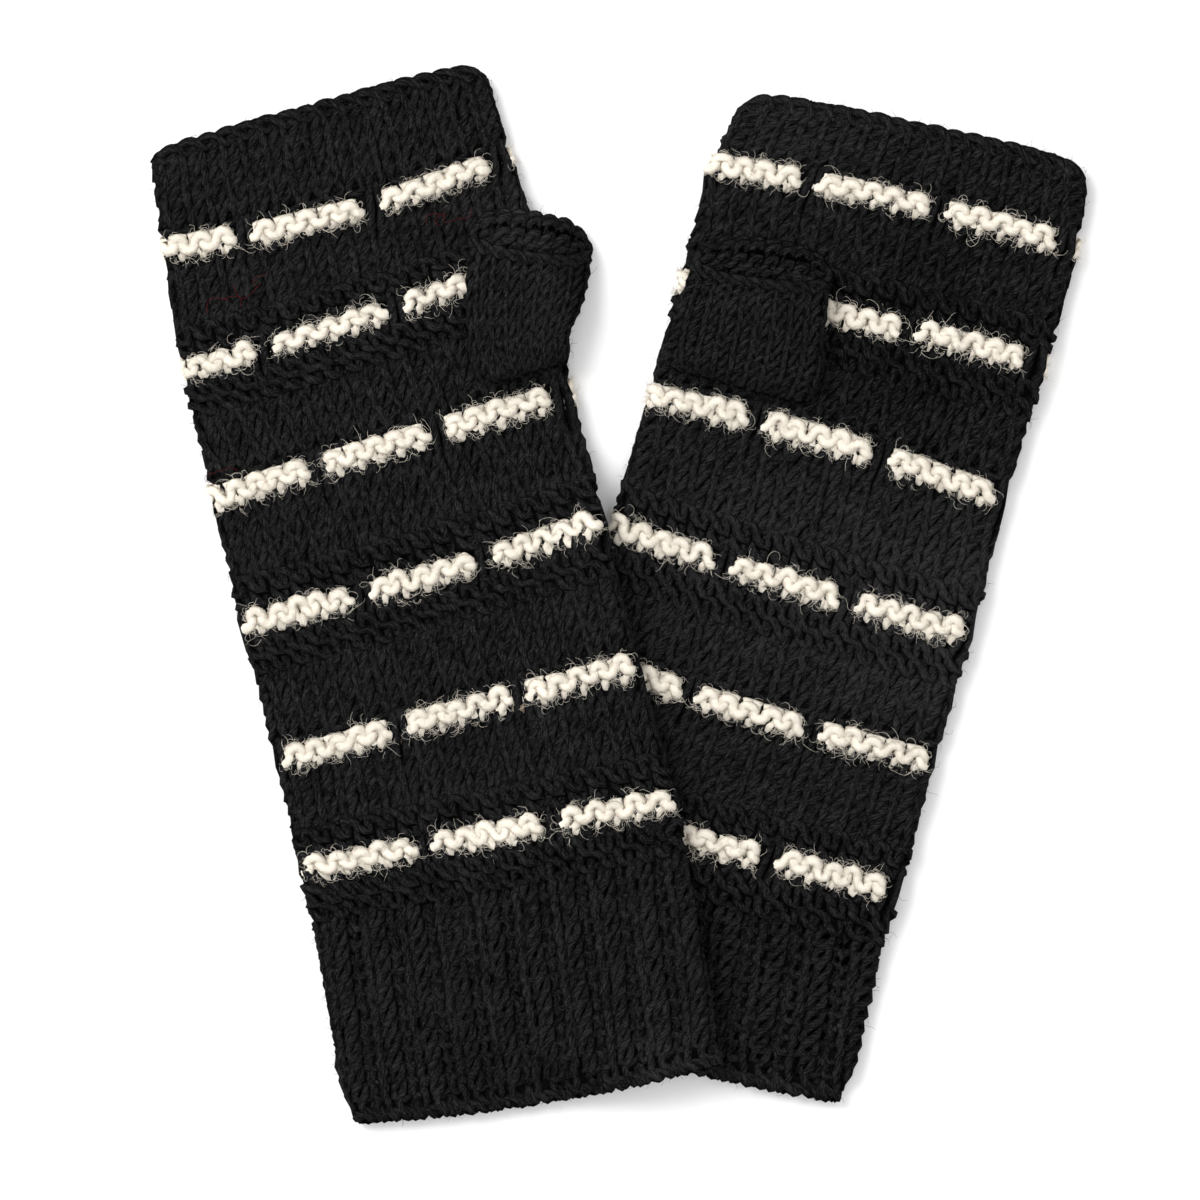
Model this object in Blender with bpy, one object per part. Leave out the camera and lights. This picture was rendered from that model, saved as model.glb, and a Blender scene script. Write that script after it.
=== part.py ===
"""Pair of fingerless mitts, hand-knitted in thick wool and laid flat.

Each mitt is three knitted tubes pressed flat: a hand, a ribbed cuff under it, and a thumb that is
picked up round a slot in the hand and lies on the hand. The mitts lean apart in a V, and the left
one lies over the lower left of the right one. Sizes are millimetres, and the finished points are
metres. +Z is up, the mitts rest on Z = 0, and +Y runs from the cuffs to the finger edges.
"""
import math
from collections import namedtuple

import bmesh
import bpy
import numpy as np

METRES = 0.001

# ---------------------------------------------------------------- driving dimensions, millimetres
WALL = 3.0                 # one layer of the hand's knitting
SLIT = 0.6                 # space left between the two layers of a flattened tube
CUFF_WALL = 2.4            # cuff's layer in the furrows between its ribs
RIB_HEIGHT = 0.8
RIBS_ON_FACE = 9
RIB_SHARE = 0.5            # of each rib's pitch that is raised
THUMB_WALL = 2.4
SEAM_GAP = 0.3             # between pieces that are knitted onto or lie on each other
SIDE_WALL = 3.2            # knitting outside the slit at a folded side

DASH_HALF = 3.4            # half the height of a two-row dash on its flat top
DASH_SLOPE = 1.6
DASH_RELIEF = 1.2
SIDE_BULGE = 0.6           # share of the relief that shows in the outline at the folded sides
WELT_REACH = 11.4          # purl rows each side of a welted dash, from the dash's middle
WELT_RELIEF = 1.0
GAP_HALF = 2.6             # half the width of the slipped stitch between two dashes
EDGE_LIP = 3.6             # bound-off finger edge
LIP_RELIEF = 0.6
LONGEST_STEP = 7.0         # between cross-sections of the hand

DRAPE_START = 2.5          # past the side of what is below it, the piece on top starts to come down
DRAPE_REACH = 18.0         # and here it is down on the floor
THUMB_DRAPE_REACH = 15.0

HAND_FACE_POINTS = 27
CUFF_FACE_POINTS = 4 * RIBS_ON_FACE
THUMB_FACE_POINTS = 12
FOLD_POINTS = 3
UNDERSIDE_POINTS = 13
CUFF_SECTIONS = 6
THUMB_FOLD_TURNS = (0.0, 0.25, 0.5, 0.75, 1.0)

# A row of knitting across the flat tube: its height above the cuff's edge at the two folded sides,
# how far its middle bows up, where the sides are, and on dash rows the first slipped stitch, from
# the left side, and the width of a repeat of five stitches and a slipped one.
Row = namedtuple("Row", "name left_height right_height bow left right first_gap repeat")

LEFT_ROWS = [
    Row("cuff edge", 3.0, -3.2, -3.0, -51.4, 51.6, 0, 0),
    Row("cuff", 19.5, 14.5, -2.0, -53.4, 53.8, 0, 0),
    Row("cuff top", 60.5, 56.5, 0.0, -51.2, 54.4, 0, 0),
    Row("welted dash", 73.5, 69.4, 0.1, -50.8, 55.0, 35.1, 35.3),
    Row("dash", 102.8, 107.3, 0.4, -51.0, 53.4, 35.6, 34.0),
    Row("welted dash", 141.8, 147.6, -1.8, -51.7, 52.8, 34.6, 34.4),
    Row("dash", 176.2, 183.0, 0.4, -51.8, 52.0, 30.5, 33.9),
    Row("welted dash", 211.7, 221.2, -1.7, -52.0, 52.4, 24.0, 36.4),
    Row("dash", 245.1, 248.8, -3.5, -50.2, 50.0, 23.8, 35.5),
    Row("finger edge's shoulder", 265.6, 269.8, 0.3, -48.4, 48.4, 0, 0),
    Row("finger edge", 271.0, 275.2, 0.3, -46.2, 46.0, 0, 0),
]
RIGHT_ROWS = [
    Row("cuff edge", -1.5, -0.6, -2.4, -51.1, 50.6, 0, 0),
    Row("cuff", 8.5, 9.7, -2.0, -51.8, 52.4, 0, 0),
    Row("cuff top", 43.8, 45.4, 0.0, -51.4, 51.2, 0, 0),
    Row("welted dash", 57.8, 59.4, 0.0, -52.0, 51.7, 30.9, 34.9),
    Row("dash", 98.4, 95.1, -1.5, -52.0, 51.7, 33.3, 34.7),
    Row("welted dash", 134.8, 131.5, -1.3, -51.8, 52.4, 32.9, 35.0),
    Row("dash", 171.1, 168.3, 2.1, -51.2, 51.9, 31.0, 34.7),
    Row("welted dash", 203.0, 207.4, 0.5, -51.2, 52.9, 30.4, 34.3),
    Row("dash", 235.3, 239.2, 2.2, -51.6, 53.2, 28.4, 35.5),
    Row("finger edge's shoulder", 250.5, 256.4, 1.4, -48.4, 51.0, 0, 0),
    Row("finger edge", 256.8, 261.4, 0.9, -44.4, 48.0, 0, 0),
]

# A section of the thumb: how far its middle is to the right of the thumb's root and above it, how
# much its right end is tilted up in degrees, its width, and how far it is propped up by what is
# under it. The first section stands on its edge on the hand, and the rest lie flat.
Section = namedtuple("Section", "name right up tilt width rise")

LEFT_THUMB = [
    Section("root", 0.0, 0.0, 4.0, 25.0, 0.0),
    Section("fold", 0.0, 0.0, 2.0, 28.5, 0.0),
    Section("over the welt", 2.4, 8.0, -8.0, 32.5, 1.6),
    Section("middle", 5.6, 17.0, -17.0, 34.5, 1.6),
    Section("end", 8.8, 26.5, -22.0, 34.0, 1.6),
]
RIGHT_THUMB = [
    Section("root", 0.0, 0.0, 0.0, 42.5, 0.0),
    Section("fold", 0.0, 0.0, 0.5, 43.5, 0.0),
    Section("over the welt", -0.6, 6.0, 2.0, 42.5, 1.6),
    Section("middle", -1.4, 15.0, 5.0, 40.5, 1.6),
    Section("end", -1.8, 24.5, 8.0, 38.5, 1.6),
]
THUMB_ROOT_DEPTH = 9.0     # how far apart the thumb's front and back start on the hand
THUMB_FOLD_RADIUS = 0.8    # how sharply the thumb's back folds over at its root
THUMB_SETTLES_BY = 8.0     # above its root, the thumb is down on the hand here
SLOT_MARGIN = 1.0          # no other cross-section lies this close to the thumb's slot
MOUTH_DIP = 3.6            # thumb's end: the front edge dips and the back edge rises, an oval mouth
MOUTH_RISE = 7.6
CUFF_BACK_SHOWS = 1.4      # the cuff's back layer reaches past its front one

Mitt = namedtuple("Mitt", "side origin lean rows thumb thumb_across thumb_height")

LEFT_MITT = Mitt("left", (-21.7, -134.5), 12.8, LEFT_ROWS, LEFT_THUMB, 40.2, 194.8)
RIGHT_MITT = Mitt("right", (12.3, -123.9), -15.0, RIGHT_ROWS, RIGHT_THUMB, -27.3, 186.0)

HAND_THICKNESS = 2 * WALL + SLIT
TALLEST_RELIEF = max(DASH_RELIEF, WELT_RELIEF)
LEFT_MITT_LIFT = HAND_THICKNESS + TALLEST_RELIEF + SEAM_GAP

BLACK_WOOL = (0.016, 0.016, 0.018, 1.0)


# ---------------------------------------------------------------- rows of knitting
def row_height(row):
    """A row's own height, halfway between its two sides."""
    return (row.left_height + row.right_height) / 2


def cuff_top(mitt):
    """Height of the seam between the cuff and the hand."""
    return next(row_height(row) for row in mitt.rows if row.name == "cuff top")


def row_at(mitt, height):
    """The row at a height between the measured ones, read along straight lines."""
    heights = [row_height(row) for row in mitt.rows]
    values = [np.interp(height, heights, [getattr(row, field) for row in mitt.rows])
              for field in ("left_height", "right_height", "bow", "left", "right")]
    return Row("between", *values, 0, 0)


def place_on_row(row, across):
    """Height above the cuff's edge of the point of a row that lies this far across."""
    share = (across - row.left) / (row.right - row.left)
    bow = row.bow * 4 * share * (1 - share)
    return row.left_height + (row.right_height - row.left_height) * share + bow


def dash_relief(row, away, across):
    """Height of the knitting over its plain wall, by the distance from a dash row's middle.

    The dash is a flat-topped ridge with sloping sides, cut by a slipped stitch after each five
    stitches. A welted dash stands on a wider band of purl rows.
    """
    distance = abs(away)
    band = 0.0
    if row.name == "welted dash":
        band = WELT_RELIEF * min(1.0, max(0.0, (WELT_REACH + DASH_SLOPE - distance) / DASH_SLOPE))
    ridge = DASH_RELIEF * min(1.0, max(0.0, (DASH_HALF + DASH_SLOPE - distance) / DASH_SLOPE))
    from_gap = (across - row.left - row.first_gap) / row.repeat
    from_gap = abs(from_gap - round(from_gap)) * row.repeat
    if from_gap < GAP_HALF:
        ridge = 0.0
    return max(band, ridge)


def relief_on_hand(mitt, height, across):
    """Relief of the hand's front at a row and a distance across."""
    relief = 0.0
    for row in mitt.rows:
        if row.repeat:
            relief = max(relief, dash_relief(row, height - row_height(row), across))
    from_edge = row_height(mitt.rows[-1]) - height
    if from_edge < EDGE_LIP:
        relief = max(relief, LIP_RELIEF)
    return relief


def hand_heights(mitt):
    """Heights of the hand's cross-sections: every change of relief, and the thumb slot's sides."""
    heights = [cuff_top(mitt) + SEAM_GAP / 2, row_height(mitt.rows[-1])]
    heights += [heights[1] - EDGE_LIP, heights[1] - EDGE_LIP - DASH_SLOPE]
    for row in mitt.rows:
        if not row.repeat:
            continue
        steps = [DASH_HALF, DASH_HALF + DASH_SLOPE]
        if row.name == "welted dash":
            steps += [WELT_REACH, WELT_REACH + DASH_SLOPE]
        heights += [row_height(row) + side * step for step in steps for side in (-1, 1)]
    slot = slot_heights(mitt)
    heights = [height for height in heights
               if not slot[0] - SLOT_MARGIN < height < slot[1] + SLOT_MARGIN]
    heights = sorted(heights + list(slot))
    for low, high in zip(heights[:-1], heights[1:]):
        if high - low > LONGEST_STEP:
            heights.append((low + high) / 2)
    return sorted(heights)


def slot_heights(mitt):
    """Lower and upper side of the slot in the hand's front, inside the thumb's root."""
    upper = mitt.thumb_height - THUMB_FOLD_RADIUS - THUMB_WALL
    lower = mitt.thumb_height - THUMB_FOLD_RADIUS - THUMB_ROOT_DEPTH + THUMB_WALL
    return lower, upper


# ---------------------------------------------------------------- cross-sections
def flattened_ring(half_width, thickness, face_points, lift=0.0):
    """Cross-section of a flattened tube: (across, up, outward across, outward up) round it.

    A flat front, a half-round fold at the right, a flat back and a half-round fold at the left.
    """
    radius = thickness / 2
    flat = half_width - radius
    ring = []
    for index in range(face_points):
        ring.append((flat * (2 * (index + 0.5) / face_points - 1), thickness, 0.0, 1.0))
    for index in range(FOLD_POINTS):
        angle = math.pi * (0.5 - (index + 0.5) / FOLD_POINTS)
        ring.append((flat + radius * math.cos(angle), radius * (1 + math.sin(angle)),
                     math.cos(angle), math.sin(angle)))
    for index in range(UNDERSIDE_POINTS):
        ring.append((flat * (1 - 2 * (index + 0.5) / UNDERSIDE_POINTS), 0.0, 0.0, -1.0))
    for index in range(FOLD_POINTS):
        angle = math.pi * (-0.5 - (index + 0.5) / FOLD_POINTS)
        ring.append((-flat + radius * math.cos(angle), radius * (1 + math.sin(angle)),
                     math.cos(angle), math.sin(angle)))
    return [(across, up + lift, out, out_up) for across, up, out, out_up in ring]


def front_share(out_up):
    """Share of the relief by how much the wall faces up: all on the front, none underneath."""
    if out_up < 0:
        return SIDE_BULGE * (1 + out_up)
    return SIDE_BULGE + (1 - SIDE_BULGE) * out_up


def smooth_fall(distance, start, reach):
    """1 up to the start, falling smoothly to 0 at the reach."""
    share = min(1.0, max(0.0, (distance - start) / (reach - start)))
    return 1 - share * share * (3 - 2 * share)


# ---------------------------------------------------------------- where the mitts lie
def to_plan(mitt, across, height):
    """A mitt's own across and height, turned by its lean and moved to its place on the floor."""
    lean = math.radians(mitt.lean)
    x = mitt.origin[0] + across * math.cos(lean) - height * math.sin(lean)
    y = mitt.origin[1] + across * math.sin(lean) + height * math.cos(lean)
    return x, y


def to_mitt(mitt, x, y):
    """The reverse of to_plan."""
    lean = math.radians(mitt.lean)
    x -= mitt.origin[0]
    y -= mitt.origin[1]
    return x * math.cos(lean) + y * math.sin(lean), y * math.cos(lean) - x * math.sin(lean)


def distance_outside(mitt, across, height):
    """How far a point lies outside a mitt's outline: past a side, below the cuff, or both."""
    row = row_at(mitt, height)
    past_side = max(row.left - across, across - row.right, 0.0)
    below = max(place_on_row(mitt.rows[0], min(max(across, row.left), row.right)) - height, 0.0)
    return math.hypot(past_side, below)


def laid_point(mitt, across, height, up):
    """A point of a mitt in world metres, with the left mitt draped over the right one."""
    x, y = to_plan(mitt, across, height)
    if mitt is LEFT_MITT:
        outside = distance_outside(RIGHT_MITT, *to_mitt(RIGHT_MITT, x, y))
        up += LEFT_MITT_LIFT * smooth_fall(outside, DRAPE_START, DRAPE_REACH)
    return x * METRES, y * METRES, up * METRES


# ---------------------------------------------------------------- tubes
def tube_mesh(name, outer, inner, inner_of, hole=None):
    """A tube's wall: outer rings, inner rings, the two end faces, and a slot through the wall.

    inner_of gives, for each inner ring, the outer ring that it lies inside. The hole is a pair of
    neighbouring inner rings and a range of points.
    """
    count = len(outer[0])
    mesh = bpy.data.meshes.new(name)
    work = bmesh.new()
    outside = [[work.verts.new(point) for point in ring] for ring in outer]
    inside = [[work.verts.new(point) for point in ring] for ring in inner]
    cut_rings, cut_points = hole if hole else (None, ())

    def skin(rings, first_cut):
        for low, high in zip(range(len(rings) - 1), range(1, len(rings))):
            for here in range(count):
                after = (here + 1) % count
                if low == first_cut and here in cut_points:
                    continue
                work.faces.new((rings[low][here], rings[low][after],
                                rings[high][after], rings[high][here]))

    skin(outside, inner_of[cut_rings] if hole else None)
    skin(inside, cut_rings)
    for end in (0, -1):
        for here in range(count):
            after = (here + 1) % count
            work.faces.new((outside[end][here], outside[end][after],
                            inside[end][after], inside[end][here]))
    if hole:
        first, last = cut_points[0], cut_points[-1] + 1
        for ring in (cut_rings, cut_rings + 1):
            outer_ring = outside[inner_of[ring]]
            for here in cut_points:
                work.faces.new((outer_ring[here], outer_ring[here + 1],
                                inside[ring][here + 1], inside[ring][here]))
        low, high = cut_rings, cut_rings + 1
        for side in (first, last):
            work.faces.new((outside[inner_of[low]][side], outside[inner_of[high]][side],
                            inside[high][side], inside[low][side]))
    bmesh.ops.triangulate(work, faces=work.faces[:])
    bmesh.ops.recalc_face_normals(work, faces=work.faces[:])
    work.to_mesh(mesh)
    work.free()
    return mesh


def row_ring(mitt, height, wall, thickness, face_points, relief, back_shows=0.0, inside=False):
    """One ring of points on a row of the hand or cuff.

    The outer ring follows the row's outline, raised by the relief on the front and at the folds.
    The inner ring is the plain slit between the layers.
    """
    row = row_at(mitt, height)
    middle = (row.left + row.right) / 2
    half_width = (row.right - row.left) / 2 - SIDE_BULGE * TALLEST_RELIEF
    if inside:
        profile = flattened_ring(half_width - SIDE_WALL, thickness - 2 * wall, face_points, wall)
    else:
        profile = flattened_ring(half_width, thickness, face_points)
    points = []
    for across, up, out, out_up in profile:
        raised = 0.0 if inside else relief(height, middle + across) * front_share(out_up)
        across = middle + across + out * raised
        shift = -back_shows * max(0.0, -out_up)
        points.append(laid_point(mitt, across, place_on_row(row, across) + shift,
                                 up + out_up * raised))
    return points


def hand(mitt):
    """The hand: a flattened tube with raised dashes and purl welts, and a slot for the thumb."""
    heights = hand_heights(mitt)
    slot = slot_heights(mitt)
    plain = [heights[0], slot[0], slot[1], heights[-1]]
    plain += [row_height(row) + DASH_HALF for row in mitt.rows if row.repeat]
    plain = sorted(height for height in plain if height in heights)

    def relief(height, across):
        return relief_on_hand(mitt, height, across)

    outer = [row_ring(mitt, height, WALL, HAND_THICKNESS, HAND_FACE_POINTS, relief)
             for height in heights]
    inner = [row_ring(mitt, height, WALL, HAND_THICKNESS, HAND_FACE_POINTS, relief, inside=True)
             for height in plain]
    root = mitt.thumb[0]
    row = row_at(mitt, slot[0])
    middle = (row.left + row.right) / 2
    flat = (row.right - row.left) / 2 - SIDE_BULGE * TALLEST_RELIEF - HAND_THICKNESS / 2
    places = [middle + flat * (2 * (index + 0.5) / HAND_FACE_POINTS - 1)
              for index in range(HAND_FACE_POINTS)]
    reach = root.width / 2 - THUMB_WALL
    under = [index for index, place in enumerate(places) if abs(place - mitt.thumb_across) < reach]
    hole = (plain.index(slot[0]), under[:-1])
    inner_of = [heights.index(height) for height in plain]
    return tube_mesh(mitt.side + "_hand", outer, inner, inner_of, hole)


def cuff(mitt):
    """The cuff: a flattened tube whose front is raised in knitted ribs."""
    bottom = row_height(mitt.rows[0])
    top = cuff_top(mitt) - SEAM_GAP / 2
    heights = list(np.linspace(bottom, top, CUFF_SECTIONS))
    thickness = 2 * CUFF_WALL + SLIT

    def relief(height, across):
        row = row_at(mitt, height)
        ribs = (across - row.left) / (row.right - row.left) * RIBS_ON_FACE
        return RIB_HEIGHT if abs(ribs % 1 - 0.5) < RIB_SHARE / 2 else 0.0

    outer = [row_ring(mitt, height, CUFF_WALL, thickness, CUFF_FACE_POINTS, relief,
                      CUFF_BACK_SHOWS if height == bottom else 0.0) for height in heights]
    inner = [row_ring(mitt, height, CUFF_WALL, thickness, CUFF_FACE_POINTS, relief,
                      CUFF_BACK_SHOWS if height == bottom else 0.0, inside=True)
             for height in heights]
    return tube_mesh(mitt.side + "_cuff", outer, inner, range(len(heights)))


def thumb_ring(mitt, section, turn, mouth, inside):
    """One ring of points of the thumb.

    turn is 0 where the tube stands on the hand round its slot and 1 where it lies flat. In between
    the ring swings about the fold of the thumb's back. mouth is 1 at the open end, where the front
    edge dips and the back edge rises.
    """
    flat_thickness = 2 * THUMB_WALL + SLIT
    depth = THUMB_ROOT_DEPTH + (flat_thickness - THUMB_ROOT_DEPTH) * turn
    if inside:
        profile = flattened_ring(section.width / 2 - THUMB_WALL, depth - 2 * THUMB_WALL,
                                 THUMB_FACE_POINTS, THUMB_WALL)
    else:
        profile = flattened_ring(section.width / 2, depth, THUMB_FACE_POINTS)
    swing = turn * math.pi / 2
    tilt = math.radians(section.tilt)
    row = row_at(mitt, mitt.thumb_height)
    root_height = place_on_row(row, mitt.thumb_across)
    points = []
    for across, up, out, out_up in profile:
        radius = THUMB_FOLD_RADIUS + up
        share = across / (section.width / 2)
        oval = (-MOUTH_DIP if out_up > 0 else MOUTH_RISE) * abs(out_up) * (1 - share ** 4)
        along = mouth * oval - radius * math.cos(swing)
        here = mitt.thumb_across + section.right + across * math.cos(tilt) - along * math.sin(tilt)
        height = root_height + section.up + across * math.sin(tilt) + along * math.cos(tilt)
        settle = THUMB_FOLD_RADIUS * min(1.0, section.up / THUMB_SETTLES_BY)
        above = radius * math.sin(swing) - settle
        carried = HAND_THICKNESS + SEAM_GAP + section.rise
        outside = distance_outside(mitt, here, height)
        carried *= smooth_fall(outside, 0.0, THUMB_DRAPE_REACH)
        points.append(laid_point(mitt, here, height, above + carried))
    return points


def thumb(mitt):
    """The thumb: a short tube that stands round its slot, folds over and lies on the hand."""
    root, fold = mitt.thumb[0], mitt.thumb[1]
    steps = []
    for turn in THUMB_FOLD_TURNS:
        blend = [a + (b - a) * turn for a, b in zip(root[1:], fold[1:])]
        steps.append((Section("folding", *blend), turn, 0.0))
    for section in mitt.thumb[2:]:
        steps.append((section, 1.0, 1.0 if section.name == "end" else 0.0))
    outer = [thumb_ring(mitt, section, turn, mouth, False) for section, turn, mouth in steps]
    inner = [thumb_ring(mitt, section, turn, mouth, True) for section, turn, mouth in steps]
    return tube_mesh(mitt.side + "_thumb", outer, inner, range(len(steps)))


# ---------------------------------------------------------------- materials and objects
def wool(name, colour):
    """Matt wool."""
    material = bpy.data.materials.new(name)
    material.use_nodes = True
    shader = material.node_tree.nodes["Principled BSDF"]
    shader.inputs["Base Color"].default_value = colour
    shader.inputs["Roughness"].default_value = 0.95
    shader.inputs["Metallic"].default_value = 0.0
    return material


def add_piece(collection, mesh):
    """One knitted piece as its own object, shaded smooth but for its steps."""
    piece = bpy.data.objects.new(mesh.name, mesh)
    mesh.materials.append(wool(mesh.name + "_wool", BLACK_WOOL))
    mesh.shade_smooth()
    mesh.set_sharp_from_angle(angle=math.radians(40))
    collection.objects.link(piece)


def build():
    """Clear the scene and add the six knitted pieces of the pair."""
    for old in list(bpy.data.objects):
        bpy.data.objects.remove(old, do_unlink=True)
    collection = bpy.data.collections.new("fingerless_mitts")
    bpy.context.scene.collection.children.link(collection)
    for mitt in (LEFT_MITT, RIGHT_MITT):
        add_piece(collection, hand(mitt))
        add_piece(collection, cuff(mitt))
        add_piece(collection, thumb(mitt))


build()
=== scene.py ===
"""Pair of fingerless mitts, hand-knitted in thick black wool with dashes of cream wool.

Every stitch is a loop of yarn laid on the form of the two flat tubes. A place on a mitt is given as
a knitter counts it: its wale, which is the column of stitches, its course, which is the row from
the cuff's edge up, and how far out from the wool's surface it lies. Sizes are millimetres.
"""
import math
from collections import namedtuple
from functools import partial

import bpy
import numpy as np
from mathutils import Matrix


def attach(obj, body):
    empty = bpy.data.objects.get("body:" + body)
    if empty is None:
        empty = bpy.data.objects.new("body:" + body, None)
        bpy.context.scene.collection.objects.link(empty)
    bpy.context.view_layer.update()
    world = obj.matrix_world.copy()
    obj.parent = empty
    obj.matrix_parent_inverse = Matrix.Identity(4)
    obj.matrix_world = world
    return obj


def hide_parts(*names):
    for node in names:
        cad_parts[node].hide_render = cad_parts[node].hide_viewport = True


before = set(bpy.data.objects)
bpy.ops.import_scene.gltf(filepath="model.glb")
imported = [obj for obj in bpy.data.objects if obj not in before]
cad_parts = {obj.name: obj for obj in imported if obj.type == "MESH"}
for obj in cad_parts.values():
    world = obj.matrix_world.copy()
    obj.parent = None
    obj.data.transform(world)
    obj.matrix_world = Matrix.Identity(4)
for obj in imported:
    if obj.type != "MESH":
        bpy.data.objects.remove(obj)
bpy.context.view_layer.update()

# ------------------------------------------------------------------------------------- the cuffs
# Each mitt starts with its cuff, a tube of knit one, purl one rib in thick black wool, 36 stitches
# round, pressed flat. The left mitt lies over the lower left of the right one.
METRES = 0.001
STITCHES = 36
SLIP_REPEAT = 6            # a slipped stitch after each five
HAND_THICKNESS = 6.6
CUFF_THICKNESS = 5.4
RIB_HEIGHT = 0.8
RIB_SINK = 1.0             # the yarn of purl ribs lies this much deeper than their form
RIB_DRAW = 0.15            # and is drawn in sideways by this share of a wale, towards its middle
DASH_HEIGHT = 1.2
WELT_HEIGHT = 1.0
LIP_HEIGHT = 0.8
SIDE_BULGE = 0.6           # share of those heights that shows at the folded sides
FOLD_DEPTH = 1.8           # radius at which the yarn's middle goes round a folded side
SEAM_GAP = 0.3             # between the two mitts, and between a thumb and its hand
DRAPE_START = 2.5          # this far past the right mitt's side, the left one starts to come down,
DRAPE_REACH = 18.0         # and this far past it, lies on the floor
LEFT_MITT_LIFT = HAND_THICKNESS + DASH_HEIGHT + SEAM_GAP

# Rows across each mitt: the heights of their two ends and how far they bow up between them, where
# the mitt's sides are, how far from the left side the first slipped stitch is, and the repeat.
Row = namedtuple("Row", "name left_height right_height bow left right first_gap repeat")
LEFT_ROWS = [
    Row("cuff edge", 3.0, -3.2, -3.0, -51.4, 51.6, 33.0, 30.6),
    Row("cuff", 19.5, 14.5, -2.0, -53.4, 53.8, 36.5, 31.4),
    Row("cuff top", 60.5, 56.5, 0.0, -51.2, 54.4, 38.4, 31.4),
    Row("welted dash", 73.5, 69.4, 0.1, -50.8, 55.0, 35.1, 35.3),
    Row("dash", 102.8, 107.3, 0.4, -51.0, 53.4, 35.6, 34.0),
    Row("welted dash", 141.8, 147.6, -1.8, -51.7, 52.8, 34.6, 34.4),
    Row("dash", 176.2, 183.0, 0.4, -51.8, 52.0, 30.5, 33.9),
    Row("welted dash", 211.7, 221.2, -1.7, -52.0, 52.4, 24.0, 36.4),
    Row("dash", 245.1, 248.8, -3.5, -50.2, 50.0, 23.8, 35.5),
    Row("finger edge's shoulder", 265.6, 269.8, 0.3, -48.4, 48.4, 22.9, 34.2),
    Row("finger edge", 271.0, 275.2, 0.3, -46.2, 46.0, 21.6, 32.6),
]
RIGHT_ROWS = [
    Row("cuff edge", -1.5, -0.6, -2.4, -51.1, 50.6, 29.9, 38.8),
    Row("cuff", 8.5, 9.7, -2.0, -51.8, 52.4, 29.2, 38.8),
    Row("cuff top", 43.8, 45.4, 0.0, -51.4, 51.2, 26.0, 38.2),
    Row("welted dash", 57.8, 59.4, 0.0, -52.0, 51.7, 30.9, 34.9),
    Row("dash", 98.4, 95.1, -1.5, -52.0, 51.7, 33.3, 34.7),
    Row("welted dash", 134.8, 131.5, -1.3, -51.8, 52.4, 32.9, 35.0),
    Row("dash", 171.1, 168.3, 2.1, -51.2, 51.9, 31.0, 34.7),
    Row("welted dash", 203.0, 207.4, 0.5, -51.2, 52.9, 30.4, 34.3),
    Row("dash", 235.3, 239.2, 2.2, -51.6, 53.2, 28.4, 35.5),
    Row("finger edge's shoulder", 250.5, 256.4, 1.4, -48.4, 51.0, 26.9, 33.7),
    Row("finger edge", 256.8, 261.4, 0.9, -44.4, 48.0, 25.0, 31.3),
]
# The chart has a letter for each course from the cuff up: r rib, K knit, P purl, and k and p the
# knit and the purl course of a cream dash.
LEFT_CHART = 13 * "r" + "PPkpPPKKKKkpKKKKKPPkpPPKKKKkpKKKKKPPkpPPKKKKkpKKKKK"
RIGHT_CHART = 10 * "r" + "PPkpPPKKKKKkpKKKKPPkpPPKKKKKkpKKKKPPkpPPKKKKkpKKKK"
# Soft troughs in the cloth: the front is face 1 and the back is face -1.
Crease = namedtuple("Crease", "name face height across slant length width depth")
LEFT_CREASES = [
    Crease("beside the thumb", 1, 208, 17, 68, 17, 5.0, 0.9),
    Crease("below the thumb", 1, 170, 30, 24, 22, 5.5, 0.9),
    Crease("over the knuckles", 1, 232, 2, -14, 26, 5.0, 0.6),
    Crease("finger end", 1, 257, -26, 10, 15, 4.5, 0.5),
    Crease("palm's outer side", 1, 126, -42, -34, 17, 5.0, 0.9),
    Crease("wrist", 1, 92, -12, 7, 30, 5.0, 0.7),
    Crease("over the other mitt", 1, 66, 33, 62, 24, 7.0, 0.8),
    Crease("back of the wrist", -1, 98, 8, -9, 32, 6.0, 0.8),
    Crease("back of the palm", -1, 152, -20, 22, 24, 6.0, 0.7),
    Crease("back of the fingers", -1, 226, 14, -12, 20, 5.0, 0.6),
]
RIGHT_CREASES = [
    Crease("beside the thumb", 1, 203, 2, -72, 16, 5.0, 0.9),
    Crease("below the thumb", 1, 164, -26, -19, 21, 5.5, 0.8),
    Crease("palm", 1, 119, 20, 16, 27, 6.5, 0.8),
    Crease("palm's outer side", 1, 152, 44, 42, 15, 5.0, 0.9),
    Crease("over the knuckles", 1, 224, 22, 12, 24, 5.0, 0.6),
    Crease("wrist", 1, 74, 12, -8, 25, 5.0, 0.7),
    Crease("back of the wrist", -1, 80, -6, 8, 30, 6.0, 0.8),
    Crease("back of the palm", -1, 144, 18, -20, 23, 6.0, 0.7),
    Crease("back of the fingers", -1, 218, -12, 14, 19, 5.0, 0.6),
]
Mitt = namedtuple("Mitt", "side origin lean rows chart rib_parity creases seed")
LEFT_MITT = Mitt("left", (-21.7, -134.5), 12.8, LEFT_ROWS, LEFT_CHART, 0, LEFT_CREASES, 3)
RIGHT_MITT = Mitt("right", (12.3, -123.9), -15.0, RIGHT_ROWS, RIGHT_CHART, 1, RIGHT_CREASES, 8)
MITTS = (LEFT_MITT, RIGHT_MITT)

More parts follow.
